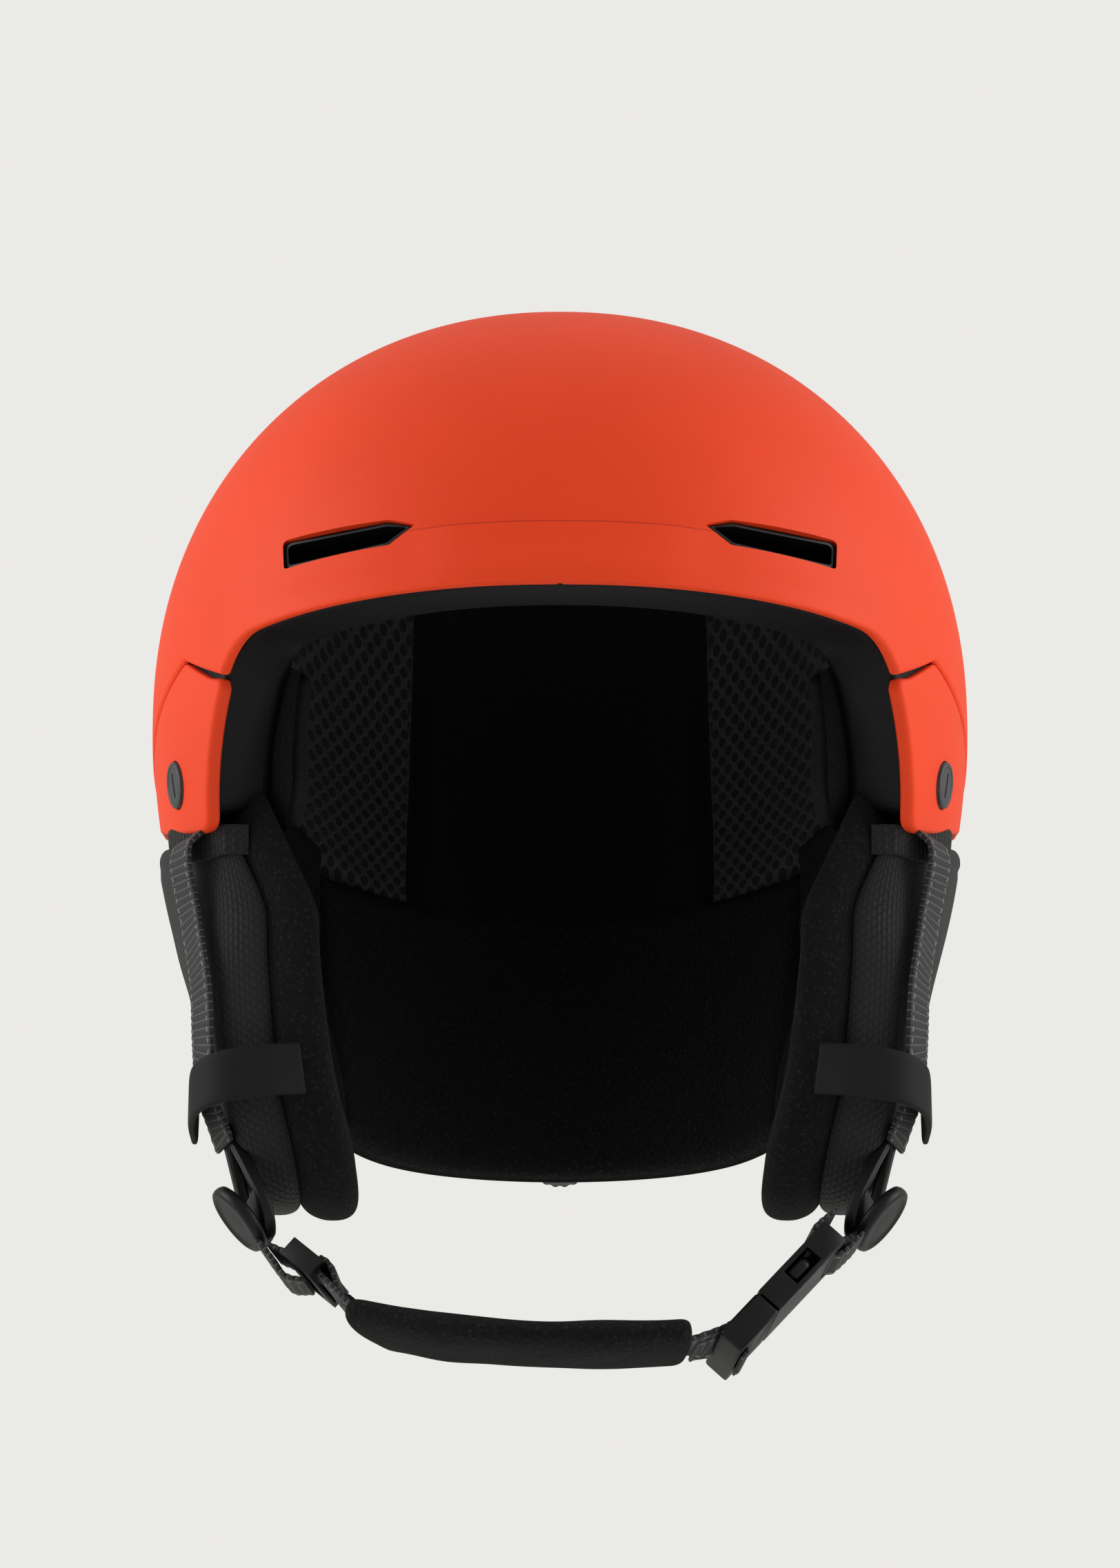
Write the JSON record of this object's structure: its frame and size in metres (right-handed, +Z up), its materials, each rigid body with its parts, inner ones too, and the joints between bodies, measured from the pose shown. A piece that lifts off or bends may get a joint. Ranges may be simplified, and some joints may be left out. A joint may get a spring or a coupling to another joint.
{
  "type": "ski helmet",
  "caption": "Hard shell ski helmet with side panels, comfort pads, fit dial, soft ear pads and a buckled chin strap.",
  "frame": {"origin": "on the mid-plane, level with the lower edge of the brim, midway along the widest part of the space for the head", "axes": "+Z up towards the crown, -Y forward out of the brow, +X to the wearer's left"},
  "size_m": [0.224, 0.2799, 0.3047],
  "materials": {
    "shell_orange": "satin moulded-in orange",
    "foam_black": "moulded expanded foam",
    "black_plastic": "fine texture",
    "cap_grey": "satin",
    "spacer_mesh": "three-layer mesh",
    "plush": "brushed fleece",
    "webbing": "ribbed webbing",
    "soft_rubber": "matte",
    "steel": "satin"
  },
  "bodies": {
    "shell": {"outer_shell": "shell_orange", "side_panel_right": "shell_orange", "side_panel_left": "shell_orange", "side_cap_right": "cap_grey", "side_cap_left": "cap_grey", "brow_vent_right": "black_plastic", "brow_vent_left": "black_plastic", "rear_vent_right": "black_plastic", "rear_vent_left": "black_plastic", "strap_anchor_front_right": "steel", "strap_anchor_front_left": "steel", "strap_anchor_rear_right": "steel", "strap_anchor_rear_left": "steel", "foam_liner": "foam_black", "crown_pad": "plush", "mesh_pad_right": "spacer_mesh", "mesh_pad_left": "spacer_mesh", "ear_collar_right": "plush", "ear_collar_left": "plush", "goggle_clip_base": "black_plastic", "goggle_clip_pin": "steel", "goggle_clip_rivet": "steel", "ear_snap_front_right": "black_plastic", "ear_snap_front_left": "black_plastic", "ear_snap_rear_right": "black_plastic", "ear_snap_rear_left": "black_plastic"},
    "fit_cradle": {"nape_pad": "plush", "nape_cradle": "black_plastic", "dial_base": "black_plastic", "dial_post": "steel"},
    "fit_dial": {"dial_knob": "black_plastic", "lace_spool": "steel"},
    "goggle_clip": {"goggle_clip_arm": "soft_rubber"},
    "ear_flap_right": {"ear_pad_right": "plush", "strap_divider_right": "black_plastic", "divider_disc_right": "black_plastic", "strap_keeper_right": "soft_rubber", "front_strap_right": "webbing", "rear_strap_right": "webbing"},
    "ear_flap_left": {"ear_pad_left": "plush", "strap_divider_left": "black_plastic", "divider_disc_left": "black_plastic", "strap_keeper_left": "soft_rubber", "front_strap_left": "webbing", "rear_strap_left": "webbing", "buckle_socket": "black_plastic"},
    "chin_strap": {"lower_strap_right": "webbing", "chin_pad": "plush", "chin_strap_end": "webbing", "strap_adjuster": "black_plastic"},
    "buckle_plug": {"buckle_plug": "black_plastic"},
    "prong_rear": {"buckle_prong_rear": "black_plastic"},
    "prong_front": {"buckle_prong_front": "black_plastic"}
  },
  "joints": [
    {"name": "fit_slide", "type": "slide", "parent": "shell", "child": "fit_cradle", "axis": [0, -1, 0], "range_m": [0, 0.005]},
    {"name": "fit_dial_turn", "type": "hinge", "parent": "fit_cradle", "child": "fit_dial", "pos_m": [0, 0.1, -0.088], "axis": [0, 1, 0], "range_deg": [0, 300]},
    {"name": "goggle_clip_hinge", "type": "hinge", "parent": "shell", "child": "goggle_clip", "pos_m": [0, 0.1442, 0.012], "axis": [1, 0, 0], "range_deg": [0, 70]},
    {"name": "ear_flap_right_hinge", "type": "hinge", "parent": "shell", "child": "ear_flap_right", "pos_m": [-0.098, 0, -0.038], "axis": [0, 1, 0], "range_deg": [0, 20], "deforming": ["front_strap_right", "rear_strap_right"]},
    {"name": "ear_flap_left_hinge", "type": "hinge", "parent": "shell", "child": "ear_flap_left", "pos_m": [0.098, 0, -0.038], "axis": [0, -1, 0], "range_deg": [0, 20], "deforming": ["front_strap_left", "rear_strap_left"]},
    {"name": "chin_strap_hinge", "type": "hinge", "parent": "ear_flap_right", "child": "chin_strap", "pos_m": [-0.0746, -0.0434, -0.1482], "axis": [0, 1, 0], "range_deg": [0, 70], "deforming": ["lower_strap_right"]},
    {"name": "buckle_slide", "type": "slide", "parent": "chin_strap", "child": "buckle_plug", "axis": [-0.6601, -0.2, -0.7241], "range_m": [0, 0.026], "deforming": ["buckle_prong_rear", "buckle_prong_front"]},
    {"name": "prong_rear_squeeze", "type": "hinge", "parent": "buckle_plug", "child": "prong_rear", "pos_m": [0.05013, -0.0523, -0.17041], "axis": [-0.739, 0, 0.6737], "range_deg": [-8, 0], "stiffness_Nm_per_rad": 0.01},
    {"name": "prong_front_squeeze", "type": "hinge", "parent": "buckle_plug", "child": "prong_front", "pos_m": [0.05166, -0.06346, -0.16872], "axis": [-0.739, 0, 0.6737], "range_deg": [0, 8], "stiffness_Nm_per_rad": 0.01}
  ],
  "couplings": [
    {"joint": "fit_dial_turn", "follows": "fit_slide", "rad_per_m": 1047.2},
    {"joint": "prong_front_squeeze", "follows": "prong_rear_squeeze", "ratio": -1}
  ]
}
